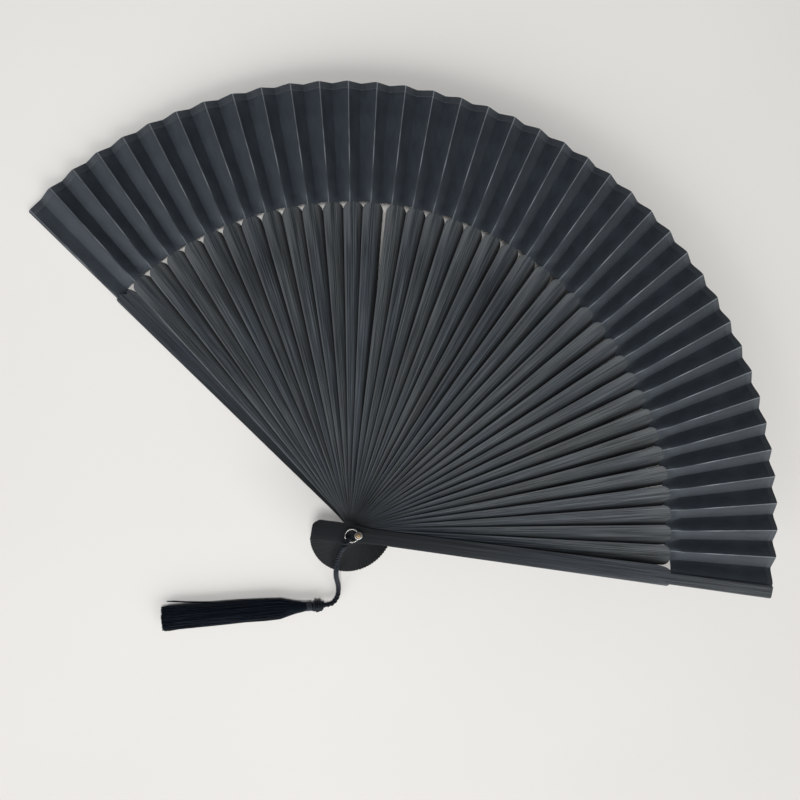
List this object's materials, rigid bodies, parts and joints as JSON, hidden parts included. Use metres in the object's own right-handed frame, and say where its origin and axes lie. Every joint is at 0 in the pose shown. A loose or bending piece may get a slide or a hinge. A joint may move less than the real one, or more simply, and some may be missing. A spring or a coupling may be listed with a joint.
{
  "type": "folding hand fan",
  "caption": "Open folding hand fan with dark slatted ribs, a pleated cloth leaf, two guards, a riveted pin with a ring and a corded tassel",
  "frame": {"origin": "on the pin's axis, at the underside of the back guard, which rests on the table", "axes": "+Z is the pin's axis and the fan's thickness, upwards from the back guard to the front guard; +Y is the middle of the open fan; +X is towards the front guard's side"},
  "size_m": [0.3648, 0.2708, 0.0324],
  "materials": {
    "guard": "black-dyed bamboo, satin",
    "rib": "black-dyed bamboo with fine grain, satin",
    "leaf": "thin woven cloth, blue-black",
    "pin": "peened and worn",
    "collar": "bright",
    "ring": "bright wire",
    "cord": "twisted silk-like cord",
    "skirt": "silk-like threads"
  },
  "bodies": {
    "front_guard": {"front_guard": "guard", "leaf": "leaf"},
    "rib_01": {"rib_01": "rib"},
    "rib_02": {"rib_02": "rib"},
    "rib_03": {"rib_03": "rib"},
    "rib_04": {"rib_04": "rib"},
    "rib_05": {"rib_05": "rib"},
    "rib_06": {"rib_06": "rib"},
    "rib_07": {"rib_07": "rib"},
    "rib_08": {"rib_08": "rib"},
    "rib_09": {"rib_09": "rib"},
    "rib_10": {"rib_10": "rib"},
    "rib_11": {"rib_11": "rib"},
    "rib_12": {"rib_12": "rib"},
    "rib_13": {"rib_13": "rib"},
    "rib_14": {"rib_14": "rib"},
    "rib_15": {"rib_15": "rib"},
    "rib_16": {"rib_16": "rib"},
    "rib_17": {"rib_17": "rib"},
    "rib_18": {"rib_18": "rib"},
    "rib_19": {"rib_19": "rib"},
    "rib_20": {"rib_20": "rib"},
    "rib_21": {"rib_21": "rib"},
    "rib_22": {"rib_22": "rib"},
    "rib_23": {"rib_23": "rib"},
    "rib_24": {"rib_24": "rib"},
    "rib_25": {"rib_25": "rib"},
    "rib_26": {"rib_26": "rib"},
    "rib_27": {"rib_27": "rib"},
    "rib_28": {"rib_28": "rib"},
    "rib_29": {"rib_29": "rib"},
    "rib_30": {"rib_30": "rib"},
    "rib_31": {"rib_31": "rib"},
    "rib_32": {"rib_32": "rib"},
    "rib_33": {"rib_33": "rib"},
    "rib_34": {"rib_34": "rib"},
    "rib_35": {"rib_35": "rib"},
    "rib_36": {"rib_36": "rib"},
    "rib_37": {"rib_37": "rib"},
    "rib_38": {"rib_38": "rib"},
    "back_guard": {"back_guard": "guard"},
    "tassel": {"pin": "pin", "pin_collar": "collar", "foot_washer": "collar", "ring": "ring", "cord": "cord", "knot_head": "cord", "neck_binding": "cord", "skirt": "skirt"}
  },
  "joints": [
    {"name": "fold_rib_38", "type": "hinge", "parent": "front_guard", "child": "rib_38", "pos_m": [0, 0, 0], "axis": [0, 0, -1], "range_deg": [0, 3.68], "deforming": ["leaf"]},
    {"name": "fold_rib_37", "type": "hinge", "parent": "rib_38", "child": "rib_37", "pos_m": [0, 0, 0], "axis": [0, 0, -1], "range_deg": [0, 3.68]},
    {"name": "fold_rib_36", "type": "hinge", "parent": "rib_37", "child": "rib_36", "pos_m": [0, 0, 0], "axis": [0, 0, -1], "range_deg": [0, 3.68]},
    {"name": "fold_rib_35", "type": "hinge", "parent": "rib_36", "child": "rib_35", "pos_m": [0, 0, 0], "axis": [0, 0, -1], "range_deg": [0, 3.68]},
    {"name": "fold_rib_34", "type": "hinge", "parent": "rib_35", "child": "rib_34", "pos_m": [0, 0, 0], "axis": [0, 0, -1], "range_deg": [0, 3.68]},
    {"name": "fold_rib_33", "type": "hinge", "parent": "rib_34", "child": "rib_33", "pos_m": [0, 0, 0], "axis": [0, 0, -1], "range_deg": [0, 3.68]},
    {"name": "fold_rib_32", "type": "hinge", "parent": "rib_33", "child": "rib_32", "pos_m": [0, 0, 0], "axis": [0, 0, -1], "range_deg": [0, 3.68]},
    {"name": "fold_rib_31", "type": "hinge", "parent": "rib_32", "child": "rib_31", "pos_m": [0, 0, 0], "axis": [0, 0, -1], "range_deg": [0, 3.68]},
    {"name": "fold_rib_30", "type": "hinge", "parent": "rib_31", "child": "rib_30", "pos_m": [0, 0, 0], "axis": [0, 0, -1], "range_deg": [0, 3.68]},
    {"name": "fold_rib_29", "type": "hinge", "parent": "rib_30", "child": "rib_29", "pos_m": [0, 0, 0], "axis": [0, 0, -1], "range_deg": [0, 3.68]},
    {"name": "fold_rib_28", "type": "hinge", "parent": "rib_29", "child": "rib_28", "pos_m": [0, 0, 0], "axis": [0, 0, -1], "range_deg": [0, 3.68]},
    {"name": "fold_rib_27", "type": "hinge", "parent": "rib_28", "child": "rib_27", "pos_m": [0, 0, 0], "axis": [0, 0, -1], "range_deg": [0, 3.68]},
    {"name": "fold_rib_26", "type": "hinge", "parent": "rib_27", "child": "rib_26", "pos_m": [0, 0, 0], "axis": [0, 0, -1], "range_deg": [0, 3.68]},
    {"name": "fold_rib_25", "type": "hinge", "parent": "rib_26", "child": "rib_25", "pos_m": [0, 0, 0], "axis": [0, 0, -1], "range_deg": [0, 3.68]},
    {"name": "fold_rib_24", "type": "hinge", "parent": "rib_25", "child": "rib_24", "pos_m": [0, 0, 0], "axis": [0, 0, -1], "range_deg": [0, 3.68]},
    {"name": "fold_rib_23", "type": "hinge", "parent": "rib_24", "child": "rib_23", "pos_m": [0, 0, 0], "axis": [0, 0, -1], "range_deg": [0, 3.68]},
    {"name": "fold_rib_22", "type": "hinge", "parent": "rib_23", "child": "rib_22", "pos_m": [0, 0, 0], "axis": [0, 0, -1], "range_deg": [0, 3.68]},
    {"name": "fold_rib_21", "type": "hinge", "parent": "rib_22", "child": "rib_21", "pos_m": [0, 0, 0], "axis": [0, 0, -1], "range_deg": [0, 3.68]},
    {"name": "fold_rib_20", "type": "hinge", "parent": "rib_21", "child": "rib_20", "pos_m": [0, 0, 0], "axis": [0, 0, -1], "range_deg": [0, 3.68]},
    {"name": "fold_rib_19", "type": "hinge", "parent": "rib_20", "child": "rib_19", "pos_m": [0, 0, 0], "axis": [0, 0, -1], "range_deg": [0, 3.68]},
    {"name": "fold_rib_18", "type": "hinge", "parent": "rib_19", "child": "rib_18", "pos_m": [0, 0, 0], "axis": [0, 0, -1], "range_deg": [0, 3.68]},
    {"name": "fold_rib_17", "type": "hinge", "parent": "rib_18", "child": "rib_17", "pos_m": [0, 0, 0], "axis": [0, 0, -1], "range_deg": [0, 3.68]},
    {"name": "fold_rib_16", "type": "hinge", "parent": "rib_17", "child": "rib_16", "pos_m": [0, 0, 0], "axis": [0, 0, -1], "range_deg": [0, 3.68]},
    {"name": "fold_rib_15", "type": "hinge", "parent": "rib_16", "child": "rib_15", "pos_m": [0, 0, 0], "axis": [0, 0, -1], "range_deg": [0, 3.68]},
    {"name": "fold_rib_14", "type": "hinge", "parent": "rib_15", "child": "rib_14", "pos_m": [0, 0, 0], "axis": [0, 0, -1], "range_deg": [0, 3.68]},
    {"name": "fold_rib_13", "type": "hinge", "parent": "rib_14", "child": "rib_13", "pos_m": [0, 0, 0], "axis": [0, 0, -1], "range_deg": [0, 3.68]},
    {"name": "fold_rib_12", "type": "hinge", "parent": "rib_13", "child": "rib_12", "pos_m": [0, 0, 0], "axis": [0, 0, -1], "range_deg": [0, 3.68]},
    {"name": "fold_rib_11", "type": "hinge", "parent": "rib_12", "child": "rib_11", "pos_m": [0, 0, 0], "axis": [0, 0, -1], "range_deg": [0, 3.68]},
    {"name": "fold_rib_10", "type": "hinge", "parent": "rib_11", "child": "rib_10", "pos_m": [0, 0, 0], "axis": [0, 0, -1], "range_deg": [0, 3.68]},
    {"name": "fold_rib_09", "type": "hinge", "parent": "rib_10", "child": "rib_09", "pos_m": [0, 0, 0], "axis": [0, 0, -1], "range_deg": [0, 3.68]},
    {"name": "fold_rib_08", "type": "hinge", "parent": "rib_09", "child": "rib_08", "pos_m": [0, 0, 0], "axis": [0, 0, -1], "range_deg": [0, 3.68]},
    {"name": "fold_rib_07", "type": "hinge", "parent": "rib_08", "child": "rib_07", "pos_m": [0, 0, 0], "axis": [0, 0, -1], "range_deg": [0, 3.68]},
    {"name": "fold_rib_06", "type": "hinge", "parent": "rib_07", "child": "rib_06", "pos_m": [0, 0, 0], "axis": [0, 0, -1], "range_deg": [0, 3.68]},
    {"name": "fold_rib_05", "type": "hinge", "parent": "rib_06", "child": "rib_05", "pos_m": [0, 0, 0], "axis": [0, 0, -1], "range_deg": [0, 3.68]},
    {"name": "fold_rib_04", "type": "hinge", "parent": "rib_05", "child": "rib_04", "pos_m": [0, 0, 0], "axis": [0, 0, -1], "range_deg": [0, 3.68]},
    {"name": "fold_rib_03", "type": "hinge", "parent": "rib_04", "child": "rib_03", "pos_m": [0, 0, 0], "axis": [0, 0, -1], "range_deg": [0, 3.68]},
    {"name": "fold_rib_02", "type": "hinge", "parent": "rib_03", "child": "rib_02", "pos_m": [0, 0, 0], "axis": [0, 0, -1], "range_deg": [0, 3.68]},
    {"name": "fold_rib_01", "type": "hinge", "parent": "rib_02", "child": "rib_01", "pos_m": [0, 0, 0], "axis": [0, 0, -1], "range_deg": [0, 3.68]},
    {"name": "fold_back_guard", "type": "hinge", "parent": "rib_01", "child": "back_guard", "pos_m": [0, 0, 0], "axis": [0, 0, -1], "range_deg": [0, 3.68]},
    {"name": "tassel_swing", "type": "hinge", "parent": "front_guard", "child": "tassel", "pos_m": [0, 0, 0], "axis": [0, 0, 1], "range_deg": [0, 60]}
  ],
  "couplings": [
    {"joint": "fold_rib_37", "follows": "fold_rib_38", "ratio": 1},
    {"joint": "fold_rib_36", "follows": "fold_rib_38", "ratio": 1},
    {"joint": "fold_rib_35", "follows": "fold_rib_38", "ratio": 1},
    {"joint": "fold_rib_34", "follows": "fold_rib_38", "ratio": 1},
    {"joint": "fold_rib_33", "follows": "fold_rib_38", "ratio": 1},
    {"joint": "fold_rib_32", "follows": "fold_rib_38", "ratio": 1},
    {"joint": "fold_rib_31", "follows": "fold_rib_38", "ratio": 1},
    {"joint": "fold_rib_30", "follows": "fold_rib_38", "ratio": 1},
    {"joint": "fold_rib_29", "follows": "fold_rib_38", "ratio": 1},
    {"joint": "fold_rib_28", "follows": "fold_rib_38", "ratio": 1},
    {"joint": "fold_rib_27", "follows": "fold_rib_38", "ratio": 1},
    {"joint": "fold_rib_26", "follows": "fold_rib_38", "ratio": 1},
    {"joint": "fold_rib_25", "follows": "fold_rib_38", "ratio": 1},
    {"joint": "fold_rib_24", "follows": "fold_rib_38", "ratio": 1},
    {"joint": "fold_rib_23", "follows": "fold_rib_38", "ratio": 1},
    {"joint": "fold_rib_22", "follows": "fold_rib_38", "ratio": 1},
    {"joint": "fold_rib_21", "follows": "fold_rib_38", "ratio": 1},
    {"joint": "fold_rib_20", "follows": "fold_rib_38", "ratio": 1},
    {"joint": "fold_rib_19", "follows": "fold_rib_38", "ratio": 1},
    {"joint": "fold_rib_18", "follows": "fold_rib_38", "ratio": 1},
    {"joint": "fold_rib_17", "follows": "fold_rib_38", "ratio": 1},
    {"joint": "fold_rib_16", "follows": "fold_rib_38", "ratio": 1},
    {"joint": "fold_rib_15", "follows": "fold_rib_38", "ratio": 1},
    {"joint": "fold_rib_14", "follows": "fold_rib_38", "ratio": 1},
    {"joint": "fold_rib_13", "follows": "fold_rib_38", "ratio": 1},
    {"joint": "fold_rib_12", "follows": "fold_rib_38", "ratio": 1},
    {"joint": "fold_rib_11", "follows": "fold_rib_38", "ratio": 1},
    {"joint": "fold_rib_10", "follows": "fold_rib_38", "ratio": 1},
    {"joint": "fold_rib_09", "follows": "fold_rib_38", "ratio": 1},
    {"joint": "fold_rib_08", "follows": "fold_rib_38", "ratio": 1},
    {"joint": "fold_rib_07", "follows": "fold_rib_38", "ratio": 1},
    {"joint": "fold_rib_06", "follows": "fold_rib_38", "ratio": 1},
    {"joint": "fold_rib_05", "follows": "fold_rib_38", "ratio": 1},
    {"joint": "fold_rib_04", "follows": "fold_rib_38", "ratio": 1},
    {"joint": "fold_rib_03", "follows": "fold_rib_38", "ratio": 1},
    {"joint": "fold_rib_02", "follows": "fold_rib_38", "ratio": 1},
    {"joint": "fold_rib_01", "follows": "fold_rib_38", "ratio": 1},
    {"joint": "fold_back_guard", "follows": "fold_rib_38", "ratio": 1}
  ]
}
